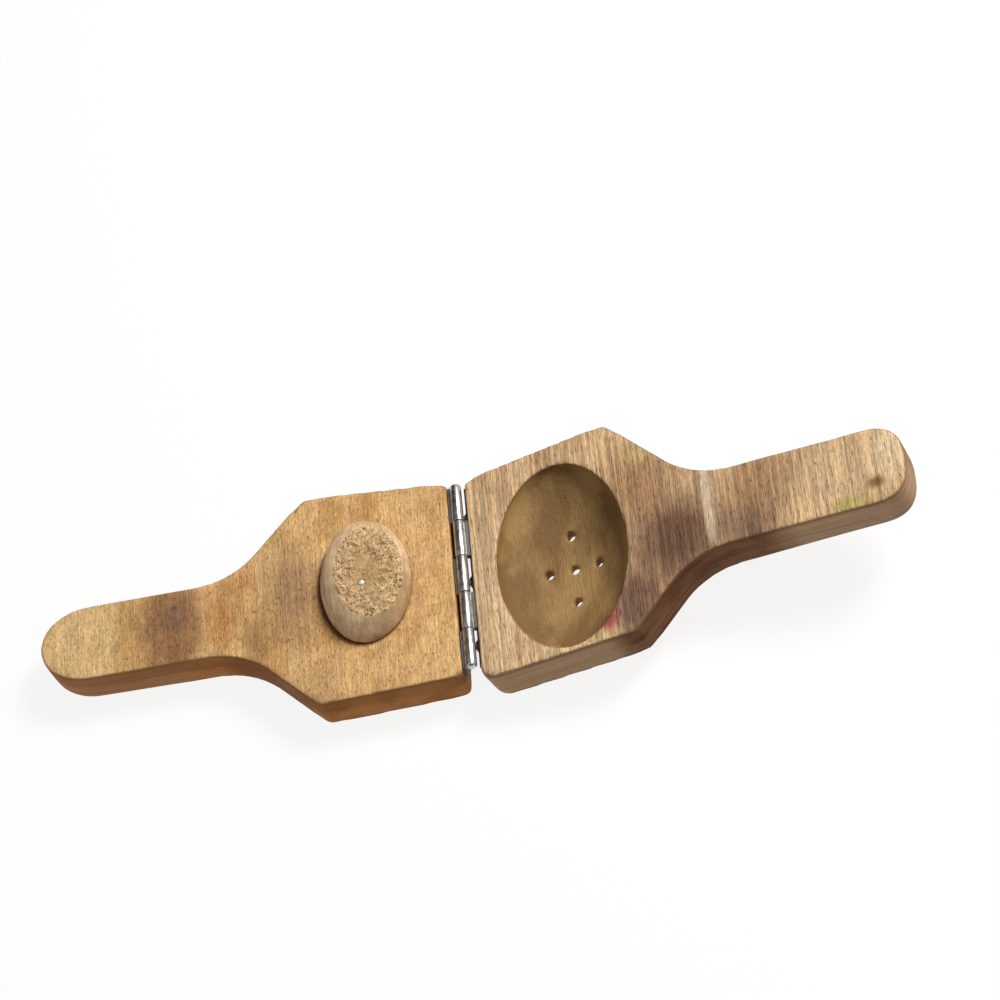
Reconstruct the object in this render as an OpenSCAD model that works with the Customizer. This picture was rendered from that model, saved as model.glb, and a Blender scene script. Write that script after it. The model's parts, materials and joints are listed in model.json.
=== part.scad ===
// Hinged wooden lemon squeezer: two paddle-shaped boards joined by a steel butt hinge.
// Origin: on the underside of the press board, halfway along it and on its middle line.
// +X runs from the press board to the cup board, Y runs along the hinge, +Z is up.
// Each side is drawn in its own paddle frame: x = 0 on the hinge axis, x grows towards
// the handle tip, z = 0 on the underside, and is then set in place.

/* [Boards] */
// Thickness of both boards
board_t = 18; // [16:0.5:26]
// Hinge axis to the handle tip of the press board
press_len = 165; // [140:1:240]
// Hinge axis to the handle tip of the cup board
cup_len = 171; // [140:1:240]
// How much wider the boards are at the shoulders than at the hinge
shoulder_flare = 6.5; // [0:0.5:12]
// Middle of the cup to the shoulders of the press board, on its middle line
press_shoulder_from_cup = 20; // [16:1:40]
// Middle of the cup to the shoulders of the cup board, on its middle line
cup_shoulder_from_cup = 23; // [16:1:40]
// How much nearer the hinge the press board's near shoulder (-Y) is, as sawn by hand
press_shoulder_skew = 0.5; // [-5:0.1:5]
// How much nearer the hinge the cup board's near shoulder is, and its far one is further by as much
cup_shoulder_skew = -1.6; // [-5:0.1:5]
// How far both shoulders of the press board lie towards its far side (+Y)
press_shoulder_shift = 1.2; // [0:0.1:4]
// How far both shoulders of the cup board lie towards its far side
cup_shoulder_shift = 3.5; // [0:0.1:4]
// How much wider the cup board is at the hinge, on its near side (-Y)
cup_near_extra = 3.3; // [0:0.1:4]
// Width of the handles
handle_w = 31; // [22:1:40]
// Slope of the neck behind each shoulder, in degrees from the handle
neck_slope = 45; // [35:1:60]
// Radius that blends the neck into the handle
neck_r = 34; // [15:1:40]
// Length of the rounded end of the press handle
press_tip_l = 20; // [10:1:30]
// Squareness of the end of the press handle, 2 is an ellipse
press_tip_power = 2.1; // [2:0.1:5]
// Length of the rounded end of the cup handle
cup_tip_l = 15; // [10:1:30]
// Squareness of the end of the cup handle, 2 is an ellipse
cup_tip_power = 2.6; // [2:0.1:5]
// Rounding of the press board's corners at the hinge
press_corner_r = 2; // [1:0.5:8]
// Rounding of the cup board's corners at the hinge
cup_corner_r = 5; // [1:0.5:8]
// Space between the barrel and the sawn end of the press board
press_end_gap = 1.1; // [0.3:0.1:1.4]
// Space between the barrel and the sawn end of the cup board
cup_end_gap = 0.8; // [0.3:0.1:1.2]
// Space between the two inner faces when the squeezer is shut
face_gap = 0.6; // [0.4:0.1:2]

/* [Cup] */
// Length of the cup's oval mouth, along the board
cup_l = 51; // [40:1:70]
// Width of the cup's oval mouth, along the hinge
cup_w = 76; // [60:1:95]
// Depth of the cup
cup_depth = 14; // [11:0.5:15]
// Wood between the hinge end of the board and the mouth of the cup
cup_hinge_wall = 10.5; // [8:0.5:20]
// Wood between the mouth of a centred cup and each side of the board at the hinge
cup_side_wall = 3; // [3:0.5:15]
// Sideways place of the middle of the cup
cup_y = -2; // [-2:0.5:1.5]
// Diameter of the juice holes in the floor of the cup
drain_d = 3.6; // [2:0.1:3.9]
// Spacing of the juice holes along the board
drain_pitch_x = 10; // [6:0.5:12]
// Spacing of the juice holes along the hinge
drain_pitch_y = 14; // [6:0.5:16]

/* [Boss] */
// Space between the foot of the boss and the mouth of the cup, along the board
boss_gap_l = 8; // [4:0.5:12]
// Space between the foot of the boss and the mouth of the cup, along the hinge
boss_gap_w = 12.5; // [4:0.5:15]
// Space between the middle of the boss top and the floor of the cup with the boards face to face
boss_gap_h = 5; // [3:0.5:7]
// How much nearer the hinge the middle of the boss is than the middle of the cup
boss_shift = 2; // [0:0.5:3]
// Sideways place of the middle of the boss
boss_y = 4.5; // [-4:0.5:5]
// Share of the foot that the flat worn top keeps
boss_top_share = 0.7; // [0.5:0.01:0.85]
// Slope of the worn top down towards the hinge
boss_top_tilt = 10; // [0:1:12]

/* [Hinge] */
// Distance from each end of the hinge barrel to the side of the board
hinge_inset = 3; // [2:0.5:10]
// Diameter of the hinge barrel
barrel_d = 4.4; // [3.6:0.1:6.4]
// Diameter of the hinge pin
pin_d = 2; // [1.6:0.1:3.2]
// Radial clearance of the pin in the knuckles
pin_fit = 0.05; // [0.02:0.01:0.1]
// Number of knuckles, always odd
knuckles = 5; // [3:2:7]
// Space between neighbouring knuckles
knuckle_gap = 0.3; // [0.2:0.05:0.6]
// Thickness of the domed head on each end of the pin
pin_head_h = 1; // [0.6:0.1:1.5]
// Thickness of the hinge leaves
leaf_t = 1.2; // [0.8:0.1:1.4]
// Height of the leaves' lower edge above the underside of the boards
leaf_foot = 3.3; // [1:0.1:4]
// Length and height of the corners cut off the leaves, which clears the boards' worn corners
leaf_clip = 8; // [0:0.5:9]
// Depth of the seat cut for the leaf in the cup board
leaf_seat_d = 0.5; // [0.3:0.1:0.8]
// Space round the leaf in that seat
leaf_seat_gap = 0.5; // [0.1:0.1:1]
// Angle that the cup board stays raised by when the squeezer is fully open
open_tilt = 10; // [5:1:16]

/* [Screws] */
// Shank diameter of the hinge screws
hinge_screw_d = 3.2; // [2.5:0.1:3.5]
// Length of the hinge screws in the wood
hinge_screw_l = 11; // [8:0.5:12]
// Head diameter of the hinge screws
hinge_screw_head_d = 6.2; // [5:0.1:6.6]
// Hinge axis to the row of hinge screws
hinge_screw_drop = 7.5; // [7:0.1:9]
// Distance from each end of the barrel to the nearest hinge screw
hinge_screw_inset = 11; // [6:0.5:14]
// Shank diameter of the screw that holds the boss
boss_screw_d = 4; // [3:0.1:5]
// Head diameter of the screw that holds the boss
boss_screw_head_d = 6.4; // [5:0.1:6.6]
// How far this screw lies to the near side (-Y) of the middle of the boss
boss_screw_shift = 4.5; // [0:0.5:5]
// Diameter of this screw's blunt point, which shows in the top of the boss
boss_screw_point_d = 2; // [0.6:0.1:2.5]
// Depth that this head is sunk below the underside
boss_screw_sink = 0.5; // [0.3:0.1:1]
// Radial clearance of the screws in their holes
screw_fit = 0.03; // [0.01:0.01:0.1]

/* [Hidden] */
SCREWS = ["press_leaf_screw_1", "press_leaf_screw_2", "press_leaf_screw_3",
          "cup_leaf_screw_1", "cup_leaf_screw_2", "cup_leaf_screw_3"];
$fn = 96;
// Facets of the two oval solids, which no bore or joint depends on
oval_facets = 64;
// Extra length of a cut, so that it leaves no skin
over = 1;

// Height of the hinge axis above the underside of the press board
axis_z = board_t + face_gap / 2;
barrel_r = barrel_d / 2;
// Hinge axis to the sawn ends of the boards
press_end_x = barrel_r + press_end_gap;
cup_end_x = barrel_r + cup_end_gap;
// Hinge axis to the middle of the cup, and so of the boss that enters it
cup_x = cup_end_x + cup_hinge_wall + cup_l / 2;
cup_shoulder_x = cup_x + cup_shoulder_from_cup;
press_shoulder_x = cup_x + press_shoulder_from_cup;
hinge_edge_w = cup_w + 2 * cup_side_wall;
shoulder_w = hinge_edge_w + shoulder_flare;
// Hinge axis to the origin, and to the middle of the boss
rest_x = (press_end_x + press_len) / 2;
boss_x = cup_x - boss_shift;
boss_l = cup_l - 2 * boss_gap_l;
boss_w = cup_w - 2 * boss_gap_w;
boss_h = cup_depth - boss_gap_h;
hinge_l = hinge_edge_w - 2 * hinge_inset;
hinge_screw_pitch = hinge_l / 2 - hinge_screw_inset;
knuckle_l = (hinge_l - (knuckles - 1) * knuckle_gap) / knuckles;
knuckle_pitch = knuckle_l + knuckle_gap;
// Space between the barrel and the plain part of a leaf
barrel_clear = 0.4;
// How deep the part of a leaf that carries a knuckle reaches into it, at least
knuckle_root = 0.6;
// Inner faces of the two leaves, measured from the hinge axis
press_leaf_x = press_end_x - leaf_t;
cup_leaf_x = cup_end_x + leaf_seat_d - leaf_t;
// The screw heads of the two leaves face each other, and stop the hinge when they meet
head_stop_gap = 0.35;
hinge_screw_head_h = (press_leaf_x + cup_leaf_x + hinge_screw_drop * sin(open_tilt)
                      - head_stop_gap) / 2;
// Half height of the whole ellipsoid that the boss is cut from
boss_ellipsoid_h = boss_h / sqrt(1 - boss_top_share * boss_top_share);
arc_steps = 14;

wood_honey = "peru";
wood_grey = "rosybrown";
wood_boss = "tan";
steel = "silver";

module press_side() {
    translate([rest_x, 0, 0]) mirror([1, 0, 0]) children();
}

module cup_side() {
    translate([rest_x, 0, axis_z]) rotate([0, -open_tilt, 0]) translate([0, 0, -axis_z]) children();
}

// Points of an arc about a centre, from one angle to another
function arc(centre, r, from, to) =
    [for (i = [0 : arc_steps]) let (a = from + (to - from) * i / arc_steps)
        centre + r * [cos(a), sin(a)]];

// Half of the handle's end, from its side to the middle of its tip
function handle_end(reach, tip_l, power) =
    [for (i = [0 : arc_steps]) let (a = 90 * i / arc_steps)
        [reach - tip_l + tip_l * pow(sin(a), 2 / power), handle_w / 2 * pow(cos(a), 2 / power)]];

// Half of a paddle's outline, from the hinge end round to the tip, with its edge at the hinge
// this far from the middle line and its shoulder at this x and y
function half_outline(edge_y, shoulder, reach, end_x, corner_r, tip_l, power) =
    let (neck_x = shoulder[0] + (shoulder[1] - handle_w / 2) / tan(neck_slope) + neck_r * tan(neck_slope / 2))
    concat(
        arc([end_x + corner_r, edge_y - corner_r], corner_r, 180, 90),
        [shoulder],
        arc([neck_x, handle_w / 2 + neck_r], neck_r, 270 - neck_slope, 270),
        handle_end(reach, tip_l, power));

module paddle_outline(near_extra, shoulder_x, skew, shift, reach, end_x, corner_r, tip_l, power) {
    far = half_outline(hinge_edge_w / 2, [shoulder_x + skew, shoulder_w / 2 + shift],
                       reach, end_x, corner_r, tip_l, power);
    near = half_outline(hinge_edge_w / 2 + near_extra, [shoulder_x - skew, shoulder_w / 2 - shift],
                        reach, end_x, corner_r, tip_l, power);
    // The point at the tip lies on the middle line, so the near half leaves it out
    near_back = [for (i = [len(near) - 2 : -1 : 0]) [near[i][0], -near[i][1]]];
    polygon(concat(far, near_back));
}

// Places of the hinge screws along the hinge
function hinge_screw_y(i) = (i - 1) * hinge_screw_pitch;

module hinge_screw_at(i, leaf_x) {
    translate([leaf_x, hinge_screw_y(i), axis_z - hinge_screw_drop]) rotate([0, 90, 0]) children();
}

module hinge_screw_holes(leaf_x) {
    for (i = [0 : 2]) hinge_screw_at(i, leaf_x)
        cylinder(h = hinge_screw_l + over, r = hinge_screw_d / 2 + screw_fit);
}

module oval(l, w, h) {
    scale([l / 2, w / 2, h]) sphere(1, $fn = oval_facets);
}

module boss_screw_shape(fit) {
    head_h = (boss_screw_head_d - boss_screw_d) / 2;
    point_h = boss_screw_d;
    translate([0, 0, boss_screw_sink]) {
        cylinder(h = head_h, r1 = boss_screw_head_d / 2 + fit, r2 = boss_screw_d / 2 + fit);
        cylinder(h = board_t + boss_h - point_h - boss_screw_sink, r = boss_screw_d / 2 + fit);
    }
    translate([0, 0, board_t + boss_h - point_h])
        cylinder(h = point_h, r1 = boss_screw_d / 2 + fit, r2 = boss_screw_point_d / 2 + fit);
}

module press_paddle() {
    color(wood_honey) press_side() difference() {
        linear_extrude(board_t)
            paddle_outline(0, press_shoulder_x, press_shoulder_skew, press_shoulder_shift,
                           press_len, press_end_x, press_corner_r, press_tip_l, press_tip_power);
        translate([boss_x, boss_y - boss_screw_shift, 0]) {
            boss_screw_shape(screw_fit);
            translate([0, 0, -over])
                cylinder(h = boss_screw_sink + over, r = boss_screw_head_d / 2 + screw_fit);
        }
        hinge_screw_holes(press_end_x - over);
    }
}

module cup_paddle() {
    color(wood_grey) cup_side() difference() {
        linear_extrude(board_t)
            paddle_outline(cup_near_extra, cup_shoulder_x, cup_shoulder_skew, cup_shoulder_shift,
                           cup_len, cup_end_x, cup_corner_r, cup_tip_l, cup_tip_power);
        translate([cup_x, cup_y, board_t]) oval(cup_l, cup_w, cup_depth);
        for (i = [-1 : 1], j = [-1 : 1])
            if (abs(i) + abs(j) < 2)
                translate([cup_x + i * drain_pitch_x, cup_y + j * drain_pitch_y, -over])
                    cylinder(h = board_t, r = drain_d / 2);
        translate([cup_end_x - over, -hinge_l / 2 - leaf_seat_gap, leaf_foot - leaf_seat_gap])
            cube([over + leaf_seat_d, hinge_l + 2 * leaf_seat_gap, board_t]);
        hinge_screw_holes(cup_end_x);
    }
}

module press_boss() {
    color(wood_boss) translate([rest_x - boss_x, boss_y, 0]) difference() {
        translate([0, 0, board_t]) intersection() {
            oval(boss_l, boss_w, boss_ellipsoid_h);
            translate([-boss_l, -boss_w, 0]) cube([2 * boss_l, 2 * boss_w, boss_l]);
            // What lies below the sloping worn plane
            translate([0, 0, boss_h]) rotate([0, boss_top_tilt, 0])
                translate([-boss_l, -boss_w, -boss_l]) cube([2 * boss_l, 2 * boss_w, boss_l]);
        }
        translate([0, -boss_screw_shift, 0]) boss_screw_shape(screw_fit);
    }
}

module boss_screw() {
    color(steel) translate([rest_x - boss_x, boss_y - boss_screw_shift, 0]) boss_screw_shape(0);
}

// A leaf's plate seen from the end of the board, hanging below the barrel, its lower corners cut
module leaf_plate(height) {
    half = hinge_l / 2;
    polygon([[-half, 0], [-half, leaf_clip - height], [leaf_clip - half, -height],
             [half - leaf_clip, -height], [half, leaf_clip - height], [half, 0]]);
}

// One leaf: a plate on the end of the board, and its share of the knuckles
module leaf(leaf_x, first) {
    plate_top = axis_z - barrel_r - barrel_clear;
    root_x = min(leaf_x, barrel_r - knuckle_root);
    difference() {
        union() {
            translate([leaf_x, 0, plate_top]) rotate([90, 0, 90])
                linear_extrude(leaf_t) leaf_plate(plate_top - leaf_foot);
            for (i = [first : 2 : knuckles - 1])
                translate([0, i * knuckle_pitch - hinge_l / 2, axis_z]) {
                    rotate([-90, 0, 0]) cylinder(h = knuckle_l, r = barrel_r);
                    translate([leaf_x, 0, plate_top - axis_z - over])
                        cube([leaf_t, knuckle_l, over + barrel_r + barrel_clear]);
                    translate([root_x, 0, plate_top - axis_z])
                        cube([leaf_x + leaf_t - root_x, knuckle_l, barrel_r + barrel_clear]);
                }
        }
        translate([0, -hinge_l / 2 - over, axis_z]) rotate([-90, 0, 0])
            cylinder(h = hinge_l + 2 * over, r = pin_d / 2 + pin_fit);
        hinge_screw_holes(leaf_x - over);
    }
}

module press_leaf() {
    color(steel) press_side() leaf(press_leaf_x, 0);
}

module cup_leaf() {
    color(steel) cup_side() leaf(cup_leaf_x, 1);
}

module hinge_pin() {
    color(steel) translate([rest_x, 0, axis_z]) {
        rotate([90, 0, 0]) cylinder(h = hinge_l, r = pin_d / 2, center = true);
        for (end = [0, 1]) mirror([0, end, 0]) translate([0, hinge_l / 2, 0]) rotate([-90, 0, 0])
            pin_head();
    }
}

module pin_head() {
    dome_r = (barrel_r * barrel_r + pin_head_h * pin_head_h) / (2 * pin_head_h);
    intersection() {
        translate([0, 0, pin_head_h - dome_r]) sphere(dome_r);
        cylinder(h = pin_head_h, r = barrel_r);
    }
}

// A round-headed wood screw, with its head on the leaf and its shank along the board
module hinge_screw(i, leaf_x) {
    point_h = hinge_screw_d;
    head_r = hinge_screw_head_d / 2;
    dome_r = (head_r * head_r + hinge_screw_head_h * hinge_screw_head_h) / (2 * hinge_screw_head_h);
    slot_w = 0.8;
    slot_d = 1;
    color(steel) hinge_screw_at(i, leaf_x) {
        cylinder(h = hinge_screw_l - point_h, r = hinge_screw_d / 2);
        translate([0, 0, hinge_screw_l - point_h])
            cylinder(h = point_h, r1 = hinge_screw_d / 2, r2 = hinge_screw_d / 8);
        difference() {
            intersection() {
                translate([0, 0, dome_r - hinge_screw_head_h]) sphere(dome_r);
                translate([0, 0, -hinge_screw_head_h]) cylinder(h = hinge_screw_head_h, r = head_r);
            }
            translate([-head_r, -slot_w / 2, -hinge_screw_head_h - over])
                cube([2 * head_r, slot_w, slot_d + over]);
        }
    }
}

press_paddle();
cup_paddle();
press_boss();
boss_screw();
press_leaf();
cup_leaf();
hinge_pin();
for (i = [0 : 2]) {
    press_side() hinge_screw(i, press_leaf_x);
    cup_side() hinge_screw(i, cup_leaf_x);
}
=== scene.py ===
import json
import math
import random

import bpy
from mathutils import Matrix, Vector


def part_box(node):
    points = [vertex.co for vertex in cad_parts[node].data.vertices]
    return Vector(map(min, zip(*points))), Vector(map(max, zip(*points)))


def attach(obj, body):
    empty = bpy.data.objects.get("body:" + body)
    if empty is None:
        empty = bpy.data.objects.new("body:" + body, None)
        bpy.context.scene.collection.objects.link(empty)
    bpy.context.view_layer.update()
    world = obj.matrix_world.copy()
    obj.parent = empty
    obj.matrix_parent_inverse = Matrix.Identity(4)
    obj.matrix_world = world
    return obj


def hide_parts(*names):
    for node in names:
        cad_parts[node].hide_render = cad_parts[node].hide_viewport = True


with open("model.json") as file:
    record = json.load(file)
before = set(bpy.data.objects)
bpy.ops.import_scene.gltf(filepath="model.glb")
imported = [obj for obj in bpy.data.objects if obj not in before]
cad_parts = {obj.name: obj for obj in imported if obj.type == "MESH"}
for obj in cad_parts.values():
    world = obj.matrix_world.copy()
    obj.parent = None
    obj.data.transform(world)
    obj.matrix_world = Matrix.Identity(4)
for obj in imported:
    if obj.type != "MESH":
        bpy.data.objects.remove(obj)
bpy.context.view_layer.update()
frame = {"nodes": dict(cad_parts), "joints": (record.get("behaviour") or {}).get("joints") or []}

# ---- Press board ----
# The honey-coloured board that carries the boss: one flat plank, sawn to a paddle outline, with
# its edges rubbed round by hand and years of use. A dark juice stain crosses the handle.
MM = 0.001
hinge = frame["joints"][0]
hinge_axis = Vector(hinge["pos_m"])
press_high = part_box("press_paddle")[1]
leaf_low, leaf_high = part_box("press_leaf")
screw_low, screw_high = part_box("boss_screw")
screw_centre = (screw_low + screw_high) / 2
# The corners of the board: how far from the hinge axis, and how far to the side, in millimetres
PRESS_CORNERS = ((3, 41), (3, -41), (59.5, 45.4), (58.5, -43))
EDGE_VOXEL = 0.65 * MM
# Where the rounding of a handle's end begins and is full, from the hinge axis
TIP_STARTS = 110 * MM
TIP_FULL = 145 * MM


def pick(piece):
    """Makes one object the only selected one, and the active one."""
    bpy.ops.object.select_all(action="DESELECT")
    piece.select_set(True)
    bpy.context.view_layer.objects.active = piece


def finish_with(piece, kind, **settings):
    """Adds a modifier with these settings and applies it."""
    pick(piece)
    modifier = piece.modifiers.new(kind, kind)
    for name, value in settings.items():
        setattr(modifier, name, value)
    bpy.ops.object.modifier_apply(modifier=modifier.name)


def copy_of(node, name):
    """A new piece with the shape of a frame node, its doubled points merged."""
    piece = frame["nodes"][node].copy()
    piece.data = piece.data.copy()
    piece.parent = None
    piece.name = name
    piece.data.name = name
    piece.data.materials.clear()
    for key in list(piece.keys()):
        del piece[key]
    bpy.context.scene.collection.objects.link(piece)
    pick(piece)
    bpy.ops.object.mode_set(mode="EDIT")
    bpy.ops.mesh.select_all(action="SELECT")
    bpy.ops.mesh.remove_doubles(threshold=0.001 * MM)
    bpy.ops.object.mode_set(mode="OBJECT")
    return piece


def weigh(piece, name, weight_at):
    """A vertex group whose weights come from a rule on each vertex."""
    group = piece.vertex_groups.new(name=name)
    for vertex in piece.data.vertices:
        weight = weight_at(vertex)
        if weight > 0:
            group.add([vertex.index], weight, "REPLACE")
    return name


def fade(value, full, none):
    """1 at full and beyond, 0 at none and beyond, straight between them."""
    return min(1.0, max(0.0, (value - none) / (full - none)))


def clouds(name, size, depth=2):
    """A soft noise texture for a Displace modifier."""
    texture = bpy.data.textures.new(name, "CLOUDS")
    texture.noise_scale = size
    texture.noise_depth = depth
    return texture


def rub_board(board, worn_corners, keep_crisp):
    """Rounds a sawn board as sanding and wear do: lower edges, corners and handle end more than the rest."""
    finish_with(board, "REMESH", mode="VOXEL", voxel_size=EDGE_VOXEL, use_smooth_shade=True)
    finish_with(board, "SMOOTH", factor=0.5, iterations=5)
    low = board.bound_box[0][2]
    lower = weigh(board, "lower edge",
                  lambda v: fade(v.co.z - low, 5 * MM, 8 * MM) * keep_crisp(v.co))
    finish_with(board, "SMOOTH", factor=0.5, iterations=26, vertex_group=lower)
    corners = weigh(board, "corners",
                    lambda v: corner_wear(v.co, worn_corners) * keep_crisp(v.co))
    finish_with(board, "SMOOTH", factor=0.5, iterations=40, vertex_group=corners)
    tip = weigh(board, "tip",
                lambda v: fade(abs(v.co.x - hinge_axis.x), TIP_FULL, TIP_STARTS)
                * fade(v.co.z - low, 6 * MM, 11 * MM))
    finish_with(board, "SMOOTH", factor=0.5, iterations=80, vertex_group=tip)
    loose = weigh(board, "loose",
                  lambda v: fade(v.co.z - low, 4 * MM, 0.5 * MM) * keep_crisp(v.co))
    finish_with(board, "DISPLACE", texture=clouds("board wobble", 28 * MM), strength=0.5 * MM,
                mid_level=0.5, vertex_group=loose)
    finish_with(board, "DISPLACE", texture=clouds("board dents", 5 * MM), strength=0.16 * MM,
                mid_level=0.5, vertex_group=loose)
    pick(board)
    bpy.ops.object.shade_smooth()


def corner_wear(co, worn_corners):
    """Where a board's corners are rubbed: the shoulders and the two ends of its hinge edge."""
    return max(fade(math.dist(co[:2], corner), 3 * MM, 8 * MM) for corner in worn_corners)


def press_crisp(co):
    """1 away from the boss screw's hole and the leaf on the hinge end, 0 at them."""
    from_screw = math.dist(co[:2], screw_centre[:2])
    off_screw = fade(from_screw, 9 * MM, 6 * MM)
    off_leaf = fade(press_high.x - co.x, 2.5 * MM, 1 * MM)
    beside_leaf = fade(abs(co.y), leaf_high.y + 2 * MM, leaf_high.y + 0.5 * MM)
    below_leaf = fade(co.z, leaf_low.z - 1 * MM, leaf_low.z)
    return min(off_screw, max(off_leaf, beside_leaf, below_leaf))


press_board = copy_of("press_paddle", "press_board")
rub_board(press_board, [(hinge_axis.x - x * MM, y * MM) for x, y in PRESS_CORNERS], press_crisp)


def group_of(name, takes, gives):
    """A shader node group with named inputs and outputs."""
    tree = bpy.data.node_groups.new(name, "ShaderNodeTree")
    for label, kind, value in takes:
        socket = tree.interface.new_socket(label, in_out="INPUT", socket_type="NodeSocket" + kind)
        if value is not None:
            socket.default_value = value
    for label, kind in gives:
        tree.interface.new_socket(label, in_out="OUTPUT", socket_type="NodeSocket" + kind)
    return tree, tree.nodes.new("NodeGroupInput"), tree.nodes.new("NodeGroupOutput")


def add(tree, kind, values=None, **settings):
    """A node with its settings, and its input sockets set to a value or linked to another socket."""
    made = tree.nodes.new("ShaderNode" + kind)
    for name, value in settings.items():
        setattr(made, name, value)
    for label, value in (values or {}).items():
        if isinstance(value, bpy.types.NodeSocket):
            tree.links.new(value, made.inputs[label])
        else:
            made.inputs[label].default_value = value
    return made


def maths(tree, operation, *values):
    return add(tree, "Math", dict(enumerate(values)), operation=operation).outputs[0]


def vectors(tree, operation, *values):
    return add(tree, "VectorMath", dict(enumerate(values)), operation=operation).outputs[0]


def ramp(tree, value, low, high, to_low=0.0, to_high=1.0):
    """A value taken smoothly from one range to another, and held at its ends."""
    made = add(tree, "MapRange", {"Value": value, "From Min": low, "From Max": high, "To Min": to_low,
                                  "To Max": to_high}, interpolation_type="SMOOTHSTEP")
    return made.outputs[0]


def mix(tree, base, colour, share, blend="MIX"):
    """Lays a colour over another by a share, which is a number or a mask."""
    made = add(tree, "Mix", data_type="RGBA", blend_type=blend)
    sockets = {0: share, 6: base, 7: colour}
    for index, value in sockets.items():
        if isinstance(value, bpy.types.NodeSocket):
            tree.links.new(value, made.inputs[index])
        elif index:
            made.inputs[index].default_value = (*value, 1)
        else:
            made.inputs[index].default_value = value
    return made.outputs[2]


def noise(tree, vector, size, detail=2.0, roughness=0.5, distortion=0.0):
    """Noise in millimetres: size is a grain's length along the board, along the hinge and in height."""
    scaled = vectors(tree, "DIVIDE", vector, size)
    made = add(tree, "TexNoise", {"Vector": scaled, "Scale": 1.0, "Detail": detail, "Roughness": roughness,
                                  "Distortion": distortion})
    return made.outputs[0]


# The grain of an open-pored wood that runs along the hinge: fine lines, short dark pores, light flecks
# where the surface has lifted, and broad bands from one year to the next. Vectors are in millimetres.
grain_tree, grain_in, grain_out = group_of(
    "wood grain",
    [("Vector", "Vector", None), ("Length", "Float", 1.0)],
    [("Lines", "Float"), ("Pores", "Float"), ("Flecks", "Float"), ("Bands", "Float"), ("Blotches", "Float"),
     ("Speckle", "Float"), ("Height", "Float")])
stretch = add(grain_tree, "CombineXYZ", {"X": 1.0, "Y": grain_in.outputs["Length"], "Z": 1.0}).outputs[0]
along = vectors(grain_tree, "DIVIDE", grain_in.outputs["Vector"], stretch)


def elsewhere(x, y, z):
    """The same place in another part of the noise, so that two patterns don't follow each other."""
    return vectors(grain_tree, "ADD", along, (x, y, z))


fine = noise(grain_tree, along, (0.45, 9.0, 0.8), detail=4.0, roughness=0.7, distortion=0.35)
coarse = noise(grain_tree, elsewhere(17, 3, 5), (1.3, 30.0, 2.5), detail=2.0, distortion=0.3)
lines = maths(grain_tree, "ADD", maths(grain_tree, "MULTIPLY", fine, 0.5),
              maths(grain_tree, "MULTIPLY", coarse, 0.5))
lines = ramp(grain_tree, lines, 0.36, 0.64)
pores = ramp(grain_tree, noise(grain_tree, elsewhere(31, 7, 3), (0.42, 2.0, 0.6), detail=1.0), 0.60, 0.70)
flecks = ramp(grain_tree, noise(grain_tree, elsewhere(11, 53, 9), (0.55, 1.9, 0.6), detail=1.0), 0.61, 0.70)
bands = noise(grain_tree, along, (4.0, 45.0, 9.0), detail=3.0, roughness=0.6)
blotches = noise(grain_tree, elsewhere(5, 91, 2), (17.0, 21.0, 15.0), detail=4.0, roughness=0.55)
speckle = noise(grain_tree, elsewhere(3, 19, 8), (0.5, 1.9, 0.6), detail=3.0, roughness=0.65)
speckle = ramp(grain_tree, speckle, 0.33, 0.67)
ridges = maths(grain_tree, "SUBTRACT", lines, maths(grain_tree, "MULTIPLY", pores, 0.9))
height = maths(grain_tree, "ADD", ridges, maths(grain_tree, "MULTIPLY", flecks, 0.7))
for label, socket in (("Lines", lines), ("Pores", pores), ("Flecks", flecks), ("Bands", bands),
                      ("Blotches", blotches), ("Speckle", speckle), ("Height", height)):
    grain_tree.links.new(socket, grain_out.inputs[label])

# A soft-edged patch with a ragged outline, which a stain or a faded place takes as its mask.
patch_tree, patch_in, patch_out = group_of(
    "patch", [("Vector", "Vector", None), ("Centre", "Vector", None), ("Reach", "Vector", (10, 10, 1000)),
              ("Softness", "Float", 0.5), ("Raggedness", "Float", 4.0)], [("Mask", "Float")])
finer = vectors(patch_tree, "DIVIDE", patch_in.outputs["Vector"], (4.0, 12.0, 12.0))
drift = add(patch_tree, "TexNoise", {"Vector": finer, "Scale": 1.0, "Detail": 3.0}).outputs[1]
drift = vectors(patch_tree, "SUBTRACT", drift, (0.5, 0.5, 0.5))
shift = add(patch_tree, "VectorMath", {0: drift, "Scale": patch_in.outputs["Raggedness"]},
            operation="SCALE").outputs[0]
place = vectors(patch_tree, "SUBTRACT", vectors(patch_tree, "ADD", patch_in.outputs["Vector"], shift),
                patch_in.outputs["Centre"])
reach = add(patch_tree, "VectorMath", {0: vectors(patch_tree, "DIVIDE", place, patch_in.outputs["Reach"])},
            operation="LENGTH").outputs["Value"]
inner = maths(patch_tree, "SUBTRACT", 1.0, patch_in.outputs["Softness"])
patch_tree.links.new(ramp(patch_tree, reach, 1.0, inner), patch_out.inputs["Mask"])


def new_finish(name, location=(0, 0, 0), rotation=(0, 0, 0), scale=(1000, 1000, 1000)):
    """A material with its tree and shader, the place on the piece in millimetres, and the way it faces."""
    material = bpy.data.materials.new(name)
    material.use_nodes = True
    tree = material.node_tree
    coordinates = add(tree, "TexCoord")
    place = add(tree, "Mapping", {"Vector": coordinates.outputs["Object"], "Location": location,
                                  "Rotation": rotation, "Scale": scale}).outputs[0]
    facing = add(tree, "Mapping", {"Vector": coordinates.outputs["Normal"], "Rotation": rotation},
                 vector_type="VECTOR").outputs[0]
    return material, tree, tree.nodes["Principled BSDF"], place, facing


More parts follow.
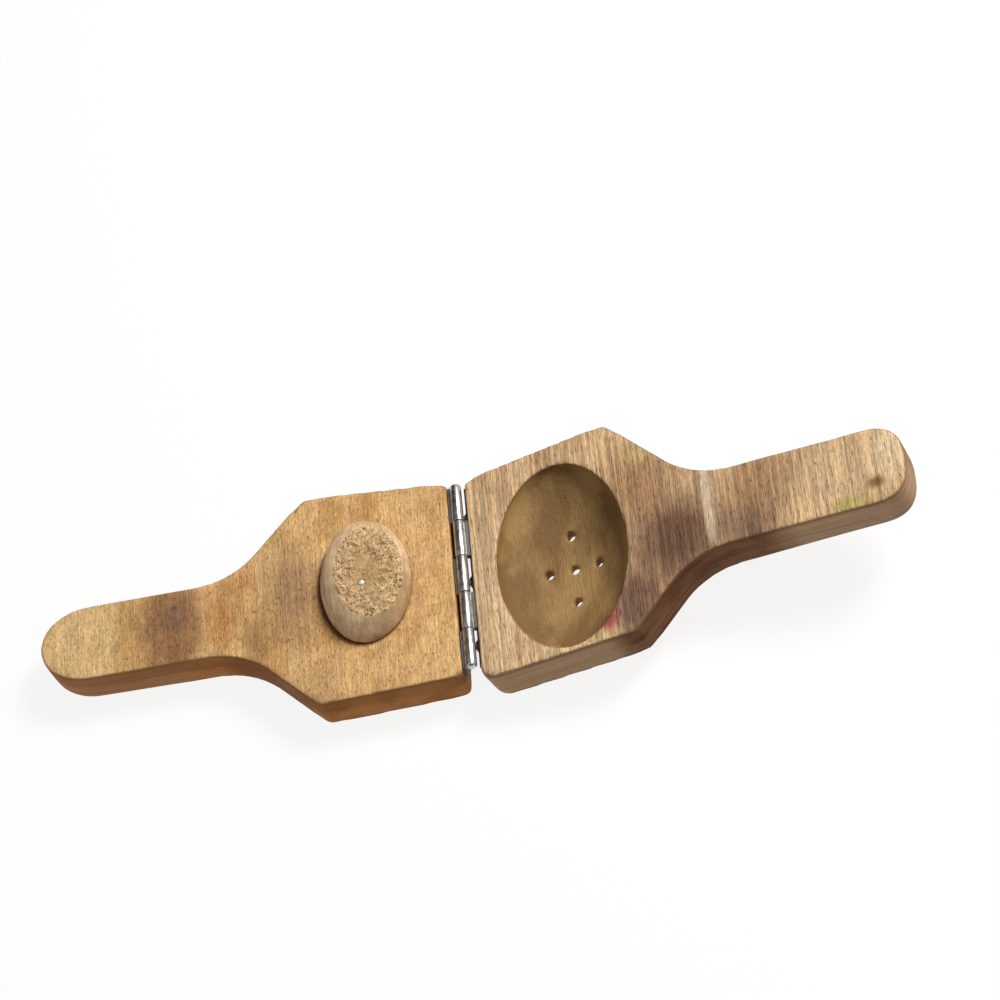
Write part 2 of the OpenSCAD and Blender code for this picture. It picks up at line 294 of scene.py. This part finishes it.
def patch(tree, vector, centre, size, softness=0.5, raggedness=4.0):
    made = tree.nodes.new("ShaderNodeGroup")
    made.node_tree = patch_tree
    made.inputs["Centre"].default_value = (*centre, 0)
    made.inputs["Reach"].default_value = (*size, 1000)
    made.inputs["Softness"].default_value = softness
    made.inputs["Raggedness"].default_value = raggedness
    tree.links.new(vector, made.inputs["Vector"])
    return made.outputs["Mask"]


def grain(tree, vector, length=1.0):
    made = tree.nodes.new("ShaderNodeGroup")
    made.node_tree = grain_tree
    made.inputs["Length"].default_value = length
    tree.links.new(vector, made.inputs["Vector"])
    return made.outputs


def by_share(tree, *values):
    """The product of several masks and numbers."""
    product = values[0]
    for value in values[1:]:
        product = maths(tree, "MULTIPLY", product, value)
    return product


def brightness(tree, colour, value):
    """The colour made lighter or darker by a number that changes over the surface."""
    grey_level = add(tree, "CombineColor", {0: value, 1: value, 2: value}).outputs[0]
    return mix(tree, colour, grey_level, 1.0, "MULTIPLY")


axis_mm = hinge_axis / MM
honey, tree, shader, place, facing = new_finish("honey wood", (axis_mm.x, 0, 0),
                                                scale=(-1000, 1000, 1000))
board_height = add(tree, "SeparateXYZ", {"Vector": place}).outputs["Z"]
upright = maths(tree, "ABSOLUTE", add(tree, "SeparateXYZ", {"Vector": facing}).outputs["Z"])
on_face = ramp(tree, upright, 0.50, 0.80)
on_top = by_share(tree, on_face, ramp(tree, board_height, 8.0, 12.0))
on_edge = by_share(tree, ramp(tree, upright, 0.985, 0.80), ramp(tree, board_height, 8.0, 12.0))
fibre = grain(tree, place)

colour = mix(tree, (0.66, 0.395, 0.165), (0.49, 0.27, 0.10), ramp(tree, fibre["Blotches"], 0.42, 0.66))
colour = mix(tree, colour, (0.57, 0.36, 0.165), ramp(tree, fibre["Bands"], 0.5, 0.7))

# Each stain on the face: its middle from the hinge axis and the middle line, its reach, its colour,
# and its strength, softness and raggedness. The last is no stain but a painted contact shadow round the foot
# of the boss, set a little toward its lower left.
PRESS_STAINS_AND_SHADOW = (
    ((66, 6), (17, 33), (0.33, 0.185, 0.09), 0.9, 0.9, 6.0),
    ((80, -12), (9, 14), (0.34, 0.18, 0.075), 0.65, 0.8, 6.0),
    ((57, -36), (15, 12), (0.56, 0.34, 0.16), 0.6, 0.7, 6.0),
    ((150, 0), (22, 30), (0.65, 0.43, 0.205), 0.85, 0.5, 6.0),
    ((130, 0), (9, 30), (0.44, 0.24, 0.09), 0.75, 0.8, 9.0),
    ((113, 0), (17, 30), (0.27, 0.13, 0.055), 0.9, 0.6, 9.0),
    ((112, 3), (9, 9), (0.19, 0.10, 0.06), 0.7, 0.8, 6.0),
    ((94, -2), (8, 22), (0.42, 0.18, 0.055), 0.75, 0.8, 4.0),
    ((88, 14), (12, 8), (0.45, 0.21, 0.07), 0.5, 0.7, 3.0),
    # Painted contact shadow round the foot of the boss, not a stain
    ((37.7, 3.5), (18.9, 26.4), (0.12, 0.04, 0.013), 0.95, 0.08, 0.6),
)


def lay_stains_and_shade(tree, colour, place, where, stains_and_shade):
    """Lays a board's stains, and any painted shadow listed among them, over its colour, one after another,
    where the mask lets them.
    """
    for centre, size, tint, strength, softness, raggedness in stains_and_shade:
        spot = patch(tree, place, centre, size, softness, raggedness)
        colour = mix(tree, colour, tint, by_share(tree, spot, where, strength))
    return colour


colour = lay_stains_and_shade(tree, colour, place, on_top, PRESS_STAINS_AND_SHADOW)
side_lines = noise(tree, place, (40, 40, 0.9), detail=3.0)
side = mix(tree, (0.42, 0.17, 0.05), (0.31, 0.12, 0.034), ramp(tree, fibre["Blotches"], 0.4, 0.65))
at_neck = patch(tree, place, (80, -30), (24, 24), 0.4, 3.0)
side = mix(tree, side, (0.19, 0.062, 0.014), by_share(tree, at_neck, 0.85))
at_handle = patch(tree, place, (140, -15), (40, 24), 0.5, 3.0)
side = mix(tree, side, (0.38, 0.175, 0.08), by_share(tree, at_handle, 0.8))
side = brightness(tree, side, ramp(tree, side_lines, 0.3, 0.7, 0.85, 1.12))
side = brightness(tree, side, ramp(tree, board_height, 0.8, 3.0, 0.6, 1.0))
colour = mix(tree, side, colour, on_face)
colour = mix(tree, colour, (0.20, 0.085, 0.025), by_share(tree, on_edge, 0.5))


def weather(tree, colour, fibre, on_face, lines, speckle, pores, flecks):
    """Draws the grain on a board's faces: lines, speckle, dark pores and light flecks, each to its depth."""
    grained = brightness(tree, colour, ramp(tree, fibre["Lines"], 0.0, 1.0, 1 - lines, 1 + 0.8 * lines))
    grained = brightness(tree, grained, ramp(tree, fibre["Speckle"], 0.0, 1.0, 1 - speckle, 1 + speckle))
    grained = brightness(tree, grained, ramp(tree, fibre["Pores"], 0.0, 1.0, 1.0, 1 - pores))
    grained = brightness(tree, grained, ramp(tree, fibre["Flecks"], 0.0, 1.0, 1.0, 1 + flecks))
    calm = brightness(tree, colour, ramp(tree, fibre["Speckle"], 0.0, 1.0, 0.93, 1.07))
    return mix(tree, calm, grained, on_face)


mottle = noise(tree, place, (3.2, 6.5, 4.0), detail=3.0, roughness=0.6, distortion=0.4)
dapple = mix(tree, (1.07, 1.07, 1.04), (0.90, 0.88, 0.86), ramp(tree, mottle, 0.36, 0.64))
colour = mix(tree, colour, dapple, by_share(tree, on_face, 0.9), "MULTIPLY")
colour = weather(tree, colour, fibre, on_face, 0.13, 0.14, 0.50, 0.22)
tree.links.new(colour, shader.inputs["Base Color"])
tree.links.new(ramp(tree, fibre["Blotches"], 0.3, 0.7, 0.55, 0.75), shader.inputs["Roughness"])
tree.links.new(ramp(tree, on_face, 0.0, 1.0, 0.04, 0.2), shader.inputs["Specular IOR Level"])
relief = by_share(tree, fibre["Height"], ramp(tree, on_face, 0.0, 1.0, 0.25, 1.0))
bump = add(tree, "Bump", {"Height": relief, "Strength": 0.8, "Distance": 0.16 * MM})
tree.links.new(bump.outputs[0], shader.inputs["Normal"])

press_board.data.materials.append(honey)
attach(press_board, "press_side")
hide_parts("press_paddle")

# ---- Boss ----
# The dome that presses the fruit into the cup: turned from harder, greyer wood, with its crown worn
# to a rough, furry flat by the fruit and the washing. It is glued and screwed to the press board.
boss_low, boss_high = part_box("press_boss")
# Finer than the boards' edges, because the crown is furry
BOSS_VOXEL = 0.32 * MM
CROWN_TILT = math.radians(10)
# Half the length and width of the furry ring, and how far its middle lies from the boss's own
FUR_REACH = (12 * MM, 17.5 * MM)
FUR_SHIFT = 2.5 * MM
crown_middle = Vector(((boss_low.x + boss_high.x) / 2, (boss_low.y + boss_high.y) / 2, screw_high.z))


def crown(co):
    """1 on the worn, sloping top of the boss, 0 on its smooth sides and foot."""
    plane = crown_middle.z - (co.x - crown_middle.x) * math.tan(CROWN_TILT)
    return fade(plane - co.z, 0.15 * MM, 0.55 * MM)


def crown_rim(co):
    """1 on the outer part of the worn top, where it is furriest, 0 round the screw."""
    along_board = (co.x - crown_middle.x - FUR_SHIFT) / FUR_REACH[0]
    along_hinge = (co.y - crown_middle.y) / FUR_REACH[1]
    return crown(co) * fade(math.hypot(along_board, along_hinge), 0.75, 0.4)


boss = copy_of("press_boss", "boss")
finish_with(boss, "REMESH", mode="VOXEL", voxel_size=BOSS_VOXEL, use_smooth_shade=True)
finish_with(boss, "SMOOTH", factor=0.5, iterations=5)
worn = weigh(boss, "worn", lambda v: crown(v.co))
furry = weigh(boss, "furry", lambda v: crown_rim(v.co))
crown_share = boss.data.attributes.new("crown", "FLOAT", "POINT")
rim_share = boss.data.attributes.new("rim", "FLOAT", "POINT")
for i, vertex in enumerate(boss.data.vertices):
    crown_share.data[i].value = crown(vertex.co)
    rim_share.data[i].value = crown_rim(vertex.co)
finish_with(boss, "DISPLACE", texture=clouds("crown hollows", 4.0 * MM), strength=0.9 * MM,
            mid_level=0.6, vertex_group=worn)
finish_with(boss, "DISPLACE", texture=clouds("crown fur", 1.3 * MM, 3), strength=1.6 * MM,
            mid_level=0.55, vertex_group=furry)
finish_with(boss, "DISPLACE", texture=clouds("crown nap", 0.7 * MM, 2), strength=0.4 * MM,
            mid_level=0.55, vertex_group=worn)
finish_with(boss, "DISPLACE", texture=clouds("boss wobble", 12 * MM), strength=0.3 * MM, mid_level=0.5)
pick(boss)
bpy.ops.object.shade_smooth()

boss_wood, tree, shader, place, _ = new_finish("boss wood")
on_crown = add(tree, "Attribute", attribute_name="crown").outputs["Fac"]
on_rim = add(tree, "Attribute", attribute_name="rim").outputs["Fac"]
fibre = grain(tree, place, 0.8)
tangle = noise(tree, place, (1.3, 1.3, 1.3), detail=4.0, roughness=0.7, distortion=1.8)
colour = mix(tree, (0.67, 0.46, 0.265), (0.44, 0.285, 0.15), ramp(tree, fibre["Blotches"], 0.40, 0.64))
colour = brightness(tree, colour, ramp(tree, fibre["Lines"], 0.0, 1.0, 0.82, 1.15))
colour = mix(tree, colour, (0.16, 0.09, 0.045), by_share(tree, fibre["Pores"], 0.35))
middle = mix(tree, (0.46, 0.28, 0.12), (0.30, 0.17, 0.07), ramp(tree, fibre["Blotches"], 0.45, 0.6))
fur = mix(tree, (0.74, 0.51, 0.26), (0.17, 0.09, 0.035), ramp(tree, tangle, 0.44, 0.60))
top = mix(tree, middle, fur, ramp(tree, on_rim, 0.0, 0.8, 0.35, 1.0))
ragged_crown = maths(tree, "ADD", on_crown, maths(tree, "MULTIPLY", tangle, 0.6))
colour = mix(tree, colour, top, ramp(tree, ragged_crown, 0.6, 0.9))
dot = patch(tree, place, (screw_centre.x / MM, screw_centre.y / MM), (1.9, 1.9), 0.4, 0.5)
colour = mix(tree, colour, (0.10, 0.05, 0.02), by_share(tree, dot, on_crown, 0.8))
tree.links.new(colour, shader.inputs["Base Color"])
shader.inputs["Roughness"].default_value = 0.72
shader.inputs["Specular IOR Level"].default_value = 0.22
relief = maths(tree, "ADD", by_share(tree, tangle, on_crown), by_share(tree, fibre["Height"], 0.3))
bump = add(tree, "Bump", {"Height": relief, "Strength": 0.7, "Distance": 0.25 * MM})
tree.links.new(bump.outputs[0], shader.inputs["Normal"])
boss.data.materials.append(boss_wood)
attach(boss, "press_side")
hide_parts("press_boss")

# ---- Torn fibres of the boss ----
# Wood fibres that the fruit and the scrubbing have pulled out of the crown. They curl over it in a
# furry ring, and each is a hair of wood a few millimetres long.
random.seed(7)
STRANDS = 460
STRAND_REACH = (11.3 * MM, 17.0 * MM)
CURLS = ((0.9, 0.7, 0.5), (1.3, -0.8, 0.3), (0.7, 1.1, -0.6))
ABOVE_BOSS = 40 * MM


def strand(bend_one, bend_two, lift):
    """One curled fibre lying along X, thick as a bristle and pointed at both ends."""
    bpy.ops.curve.primitive_bezier_curve_add(location=(0, 0, 0))
    curl = bpy.context.object
    ends = curl.data.splines[0].bezier_points
    for end, x, y, z in ((ends[0], -1.0, 0.0, 0.0), (ends[1], 1.0, 0.2, lift * 0.3)):
        end.handle_left_type = "FREE"
        end.handle_right_type = "FREE"
        end.co = Vector((x, y, z)) * MM
    ends[0].handle_right = Vector((-0.4, bend_one, abs(lift))) * MM
    ends[1].handle_left = Vector((0.5, bend_two, abs(lift))) * MM
    ends[0].handle_left = Vector((-1.3, -bend_one, 0)) * MM
    ends[1].handle_right = Vector((1.4, -bend_two, 0)) * MM
    ends[0].radius = 0.35
    ends[1].radius = 0.25
    curl.data.resolution_u = 7
    curl.data.bevel_depth = 0.14 * MM
    curl.data.bevel_resolution = 0
    curl.data.use_fill_caps = True
    bpy.ops.object.convert(target="MESH")
    return bpy.context.object


bpy.ops.object.select_all(action="DESELECT")
curls = [strand(*bends) for bends in CURLS]
hairs = []
for i in range(STRANDS):
    angle = random.uniform(0, 2 * math.pi)
    reach = math.sqrt(random.uniform(0.18, 1.0))
    spot = Vector((crown_middle.x + FUR_SHIFT + STRAND_REACH[0] * reach * math.cos(angle),
                   crown_middle.y + STRAND_REACH[1] * reach * math.sin(angle), ABOVE_BOSS))
    _, root, normal, _ = boss.ray_cast(spot, Vector((0, 0, -1)))
    heading = random.gauss(math.pi / 2, 0.9)
    size = random.uniform(1.1, 2.3)
    hair = bpy.data.objects.new("hair", curls[i % len(curls)].data.copy())
    bpy.context.scene.collection.objects.link(hair)
    hair.matrix_world = (Matrix.Translation(root + normal * 0.02 * MM)
                         @ Matrix.Rotation(heading, 4, "Z")
                         @ Matrix.Rotation(random.uniform(-0.5, 0.5), 4, "X")
                         @ Matrix.Scale(size, 4))
    hairs.append(hair)
pick(hairs[0])
for hair in hairs:
    hair.select_set(True)
bpy.ops.object.join()
fibres = bpy.context.object
fibres.name = "boss_torn_fibres"
bpy.ops.object.transform_apply(location=True, rotation=True, scale=True)
bpy.ops.object.shade_smooth()
for curl in curls:
    bpy.data.objects.remove(curl)

torn, tree, shader, place, _ = new_finish("torn fibre")
tone = noise(tree, place, (1.6, 1.6, 1.6), detail=3.0)
colour = mix(tree, (0.92, 0.69, 0.40), (0.42, 0.25, 0.11), ramp(tree, tone, 0.42, 0.64))
tree.links.new(colour, shader.inputs["Base Color"])
shader.inputs["Roughness"].default_value = 0.6
shader.inputs["Specular IOR Level"].default_value = 0.25
fibres.data.materials.append(torn)
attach(fibres, "press_side")

# ---- Boss screw ----
# The countersunk wood screw that comes up through the press board; its filed point shows as a bright
# dot in the middle of the worn crown.
fixing_screw = copy_of("boss_screw", "boss_fixing_screw")
# The driver's slot: its width, its length, and twice its depth
SLOT_SIZE = (0.9 * MM, 8 * MM, 1.6 * MM)
bpy.ops.mesh.primitive_cube_add(size=1, location=(screw_centre.x, screw_centre.y, screw_low.z))
slot_cutter = bpy.context.object
slot_cutter.scale = SLOT_SIZE
bpy.ops.object.transform_apply(location=True, rotation=True, scale=True)
finish_with(fixing_screw, "BOOLEAN", object=slot_cutter, operation="DIFFERENCE")
bpy.data.objects.remove(slot_cutter)
pick(fixing_screw)
bpy.ops.object.shade_smooth_by_angle(angle=math.radians(35))

screw_steel, tree, shader, place, _ = new_finish("screw steel")
dull = noise(tree, place, (1.5, 1.5, 1.5), detail=4.0, roughness=0.6)
colour = mix(tree, (0.62, 0.60, 0.57), (0.40, 0.38, 0.35), ramp(tree, dull, 0.4, 0.65))
tree.links.new(colour, shader.inputs["Base Color"])
tree.links.new(ramp(tree, dull, 0.3, 0.7, 0.25, 0.45), shader.inputs["Roughness"])
shader.inputs["Metallic"].default_value = 1.0

# Only the filed point and the slotted head show. Their glint is painted in: a light grey, only partly
# metallic, that looks bright and even whatever it reflects
steel_with_painted_glint = bpy.data.materials.new("steel with painted glint")
steel_with_painted_glint.use_nodes = True
shader = steel_with_painted_glint.node_tree.nodes["Principled BSDF"]
shader.inputs["Base Color"].default_value = (0.84, 0.81, 0.77, 1)
shader.inputs["Roughness"].default_value = 0.4
shader.inputs["Metallic"].default_value = 0.35
fixing_screw.data.materials.append(steel_with_painted_glint)
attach(fixing_screw, "press_side")
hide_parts("boss_screw")

# ---- Press leaf of the hinge ----
# A plate of bright steel screwed to the sawn end of the press board, with three of the five rolled
# knuckles of the barrel.
hinge_steel, tree, shader, place, _ = new_finish("hinge steel")
drawn = noise(tree, place, (0.25, 9.0, 0.25), detail=3.0)
spots = noise(tree, place, (3.0, 3.0, 3.0), detail=4.0, roughness=0.6)
bright = mix(tree, (0.66, 0.655, 0.65), (0.36, 0.335, 0.31), ramp(tree, spots, 0.42, 0.66))
across_axis = vectors(tree, "MULTIPLY", vectors(tree, "SUBTRACT", place, tuple(axis_mm)), (1, 0, 1))
from_axis = add(tree, "VectorMath", {0: across_axis}, operation="LENGTH").outputs["Value"]
# The barrel is rubbed bright. The leaves beside and behind it are painted near black and made duller:
# painted shade for the gaps between the barrel and the boards
leaf_gap_shade = ramp(tree, from_axis, 2.3, 2.5)
colour = mix(tree, bright, (0.06, 0.05, 0.04), by_share(tree, leaf_gap_shade, 0.85))
tree.links.new(colour, shader.inputs["Base Color"])
roughness = maths(tree, "ADD", ramp(tree, drawn, 0.3, 0.7, 0.27, 0.40), by_share(tree, leaf_gap_shade, 0.3))
tree.links.new(roughness, shader.inputs["Roughness"])
tree.links.new(ramp(tree, leaf_gap_shade, 0.0, 1.0, 1.0, 0.2), shader.inputs["Metallic"])
bump = add(tree, "Bump", {"Height": drawn, "Strength": 0.15, "Distance": 0.03 * MM})
tree.links.new(bump.outputs[0], shader.inputs["Normal"])


def steel_piece(node, name, body, material):
    """A steel piece from its frame node, with its sharp edges broken."""
    piece = copy_of(node, name)
    bpy.ops.object.mode_set(mode="EDIT")
    bpy.ops.mesh.select_all(action="SELECT")
    bpy.ops.mesh.dissolve_limited(angle_limit=math.radians(1))
    bpy.ops.object.mode_set(mode="OBJECT")
    finish_with(piece, "BEVEL", width=0.2 * MM, segments=2, limit_method="ANGLE",
                angle_limit=math.radians(40))
    pick(piece)
    bpy.ops.object.shade_smooth_by_angle(angle=math.radians(30))
    piece.data.materials.append(material)
    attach(piece, body)
    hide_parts(node)


steel_piece("press_leaf", "press_hinge_leaf", "press_side", hinge_steel)

# ---- Screws of the press leaf ----
# Three round-headed slotted wood screws of dull steel, driven through the leaf into the end grain
# of the board. Their heads stand in the gap between the boards and meet the other leaf's.
for i in (1, 2, 3):
    steel_piece(f"press_leaf_screw_{i}", f"press_wood_screw_{i}", "press_side", screw_steel)

# ---- Cup board ----
# The greyer board with the oval cup hollowed in its face and five juice holes through the cup floor.
# It is raised by the angle at which the hinge stops.
open_tilt = math.radians(180 - hinge["range_deg"][1])
lie_flat = (Matrix.Translation(hinge_axis) @ Matrix.Rotation(open_tilt, 4, "Y")
            @ Matrix.Translation(-hinge_axis))


def turn(piece, matrix):
    """Moves a piece by a matrix and leaves its object at the origin."""
    pick(piece)
    piece.matrix_world = matrix
    bpy.ops.object.transform_apply(location=True, rotation=True, scale=True)


cup_board = copy_of("cup_paddle", "cup_board")
turn(cup_board, lie_flat)
# The cup's middle and the board's corners: how far from the hinge axis, and how far to the side
CUP_MIDDLE = (39, -2)
CUP_CORNERS = ((3, 41), (3, -44.3), (60.4, 47.7), (63.6, -40.7))
cup_hinge_end = hinge_axis.x + 3 * MM


def cup_crisp(co):
    """1 away from the cup floor's juice holes and the leaf's seat, 0 at them."""
    from_cup = math.hypot(((co.x - hinge_axis.x) / MM - CUP_MIDDLE[0]) / 20,
                          (co.y / MM - CUP_MIDDLE[1]) / 30)
    off_cup = fade(from_cup, 1.1, 1.0)
    off_leaf = fade(co.x - cup_hinge_end, 2.5 * MM, 1 * MM)
    beside_leaf = fade(abs(co.y), leaf_high.y + 2 * MM, leaf_high.y + 1 * MM)
    below_leaf = fade(co.z, leaf_low.z - 1.5 * MM, leaf_low.z - 0.5 * MM)
    return min(off_cup, max(off_leaf, beside_leaf, below_leaf))


rub_board(cup_board, [(hinge_axis.x + x * MM, y * MM) for x, y in CUP_CORNERS], cup_crisp)
turn(cup_board, lie_flat.inverted())

turned_axis = Matrix.Rotation(open_tilt, 3, "Y") @ axis_mm
grey, tree, shader, place, facing = new_finish(
    "grey wood", (-turned_axis.x, 0, axis_mm.z - turned_axis.z), (0, open_tilt, 0))
board_height = add(tree, "SeparateXYZ", {"Vector": place}).outputs["Z"]
upright = maths(tree, "ABSOLUTE", add(tree, "SeparateXYZ", {"Vector": facing}).outputs["Z"])
on_face = ramp(tree, upright, 0.50, 0.80)
on_top = by_share(tree, on_face, ramp(tree, board_height, 17.0, 17.6))
on_edge = by_share(tree, ramp(tree, upright, 0.985, 0.80), ramp(tree, board_height, 15.0, 17.0))
fibre = grain(tree, place, 1.8)
colour = mix(tree, (0.60, 0.39, 0.205), (0.43, 0.26, 0.13), ramp(tree, fibre["Blotches"], 0.42, 0.66))
colour = mix(tree, colour, (0.40, 0.235, 0.125), ramp(tree, fibre["Bands"], 0.50, 0.68))
# In order: faded places, the dark neck, a spot of pink and one pale streak across the handle, the
# worn tip and a little green
CUP_STAINS = (
    ((10, -8), (20, 48), (0.66, 0.46, 0.26), 0.6, 0.6, 6.0),
    ((36, -41), (34, 7), (0.66, 0.46, 0.24), 0.7, 0.7, 6.0),
    ((70, 18), (18, 30), (0.33, 0.18, 0.085), 0.85, 0.8, 6.0),
    ((84, -8), (26, 24), (0.13, 0.062, 0.037), 0.94, 0.75, 10.0),
    ((66, -30), (16, 18), (0.17, 0.09, 0.06), 0.9, 0.7, 6.0),
    ((54, -32), (5.5, 8), (0.31, 0.055, 0.06), 0.92, 0.7, 3.0),
    ((113, -8), (18, 16), (0.17, 0.09, 0.06), 0.85, 0.8, 10.0),
    ((116, 6), (22, 20), (0.32, 0.175, 0.085), 0.75, 0.8, 9.0),
    ((97, 6), (3.4, 26), (0.53, 0.385, 0.25), 0.9, 0.5, 2.0),
    ((152, 3), (26, 30), (0.53, 0.355, 0.195), 0.9, 0.75, 9.0),
    ((167, 4), (12, 16), (0.68, 0.50, 0.30), 0.7, 0.8, 6.0),
    ((159, -7), (5, 3.5), (0.17, 0.07, 0.02), 0.9, 0.8, 3.0),
    ((149, -13), (13, 4.5), (0.40, 0.31, 0.10), 0.85, 0.7, 3.0),
    ((72, 31), (9, 5), (0.50, 0.38, 0.15), 0.6, 0.8, 4.0),
)
colour = lay_stains_and_shade(tree, colour, place, on_top, CUP_STAINS)
below_face = ramp(tree, board_height, 17.4, 16.8)
in_cup = by_share(tree, below_face, patch(tree, place, CUP_MIDDLE, (28, 40.3), 0.05, 0.0),
                  ramp(tree, board_height, 0.5, 1.5))
side_lines = noise(tree, place, (45, 45, 0.7), detail=4.0, roughness=0.6)
side = mix(tree, (0.20, 0.092, 0.044), (0.12, 0.05, 0.024), ramp(tree, fibre["Blotches"], 0.4, 0.65))
lit_end = patch(tree, place, (20, -43), (42, 30), 0.3, 2.0)
side = mix(tree, side, (0.46, 0.30, 0.17), by_share(tree, lit_end, 0.8))
at_tip = patch(tree, place, (150, -15), (38, 30), 0.5, 2.0)
side = mix(tree, side, (0.44, 0.28, 0.165), by_share(tree, at_tip, 0.85))
side = brightness(tree, side, ramp(tree, side_lines, 0.3, 0.7, 0.76, 1.22))
side = brightness(tree, side, ramp(tree, board_height, 0.8, 3.0, 0.6, 1.0))
colour = mix(tree, side, colour, on_face)
colour = mix(tree, colour, (0.17, 0.085, 0.04), by_share(tree, on_edge, 0.45))
# Painted shade: the cup hollow is coloured a darker brown than the face, standing in for the shade inside
# its steep walls
hollow = mix(tree, (0.34, 0.20, 0.075), (0.20, 0.11, 0.04), ramp(tree, fibre["Blotches"], 0.4, 0.6))
colour = mix(tree, colour, hollow, in_cup)
bare_face = by_share(tree, on_face, maths(tree, "SUBTRACT", 1.0, in_cup))
colour = weather(tree, colour, fibre, bare_face, 0.30, 0.14, 0.48, 0.22)
tree.links.new(colour, shader.inputs["Base Color"])
tree.links.new(ramp(tree, fibre["Blotches"], 0.3, 0.7, 0.6, 0.8), shader.inputs["Roughness"])
tree.links.new(ramp(tree, on_face, 0.0, 1.0, 0.04, 0.2), shader.inputs["Specular IOR Level"])
relief = maths(tree, "ADD", by_share(tree, fibre["Height"], ramp(tree, on_face, 0.0, 1.0, 0.25, 1.0)),
               maths(tree, "MULTIPLY", side_lines, 0.4))
bump = add(tree, "Bump", {"Height": relief, "Strength": 0.8, "Distance": 0.18 * MM})
tree.links.new(bump.outputs[0], shader.inputs["Normal"])
cup_board.data.materials.append(grey)
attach(cup_board, "cup_side")
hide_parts("cup_paddle")

# ---- Cup leaf of the hinge and its screws ----
# The matching steel plate, let into a shallow seat in the end of the cup board, with the other two
# knuckles of the barrel. Three more round-headed wood screws hold it.
steel_piece("cup_leaf", "cup_hinge_leaf", "cup_side", hinge_steel)
for i in (1, 2, 3):
    steel_piece(f"cup_leaf_screw_{i}", f"cup_wood_screw_{i}", "cup_side", screw_steel)

# ---- Hinge pin ----
# A steel wire pushed through all five knuckles, so that the two leaves turn on it. Both of its ends
# are riveted over into shallow domes.
steel_piece("hinge_pin", "hinge_wire_pin", "press_side", hinge_steel)

# ---- Floor, light and camera ----
# A plain white floor under an even sky, with a large soft lamp high on the far right and a weaker
# one opposite. The camera looks down on the open squeezer from the near side with a long lens.
bpy.ops.object.select_all(action="DESELECT")
FLOOR_GAP = 0.05 * MM
bpy.ops.mesh.primitive_plane_add(size=8, location=(0, 0, -FLOOR_GAP))
floor = bpy.context.object
floor.name = "floor"
white = bpy.data.materials.new("white floor")
white.use_nodes = True
tree = white.node_tree
shader = tree.nodes["Principled BSDF"]
shader.inputs["Base Color"].default_value = (0.11, 0.11, 0.11, 1)
shader.inputs["Roughness"].default_value = 0.9
shader.inputs["Specular IOR Level"].default_value = 0.0
shader.inputs["Emission Color"].default_value = (1, 1, 1, 1)
shader.inputs["Emission Strength"].default_value = 0.87
floor.data.materials.append(white)

world = bpy.data.worlds.new("studio")
world.use_nodes = True
sky = world.node_tree
toward = add(sky, "SeparateXYZ", {"Vector": add(sky, "TexCoord").outputs["Generated"]}).outputs["Z"]
sky.links.new(ramp(sky, toward, 0.0, 0.9, 0.22, 1.25), sky.nodes["Background"].inputs["Strength"])
bpy.context.scene.world = world


def lamp(name, place, size, power):
    """A soft area light that faces the middle of the object."""
    place = Vector(place) + Vector((hinge_axis.x, 0, 0))
    bpy.ops.object.light_add(type="AREA", location=place)
    made = bpy.context.object
    made.name = name
    made.data.size = size
    made.data.energy = power
    made.rotation_euler = (hinge_axis - place).to_track_quat("-Z", "Y").to_euler()


lamp("key", (0.81, 0.55, 1.1), 0.5, 28)
lamp("fill", (-0.84, -0.5, 1.1), 0.9, 6)

# Where the camera stands, how it leans, and how far it looks past the hinge
elevation = math.radians(58.89)
azimuth = math.radians(15.38)
roll = math.radians(-23.48)
AIM_RIGHT = 13.71 * MM
AIM_UP = 28.05 * MM
CAMERA_AWAY = 1153.6 * MM
back = Vector((math.sin(azimuth) * math.cos(elevation), -math.cos(azimuth) * math.cos(elevation),
               math.sin(elevation)))
level_right = Vector((math.cos(azimuth), math.sin(azimuth), 0))
level_up = back.cross(level_right)
right = math.cos(roll) * level_right + math.sin(roll) * level_up
up = back.cross(right)
bpy.ops.object.camera_add()
camera = bpy.context.object
camera.data.lens = 111.52
camera.data.sensor_width = 36
camera.data.clip_start = 0.01
turned = Matrix((right, up, back)).transposed().to_4x4()
camera_place = hinge_axis + right * AIM_RIGHT + up * AIM_UP + back * CAMERA_AWAY
camera.matrix_world = Matrix.Translation(camera_place) @ turned
bpy.context.scene.camera = camera
bpy.context.scene.view_settings.view_transform = "Standard"
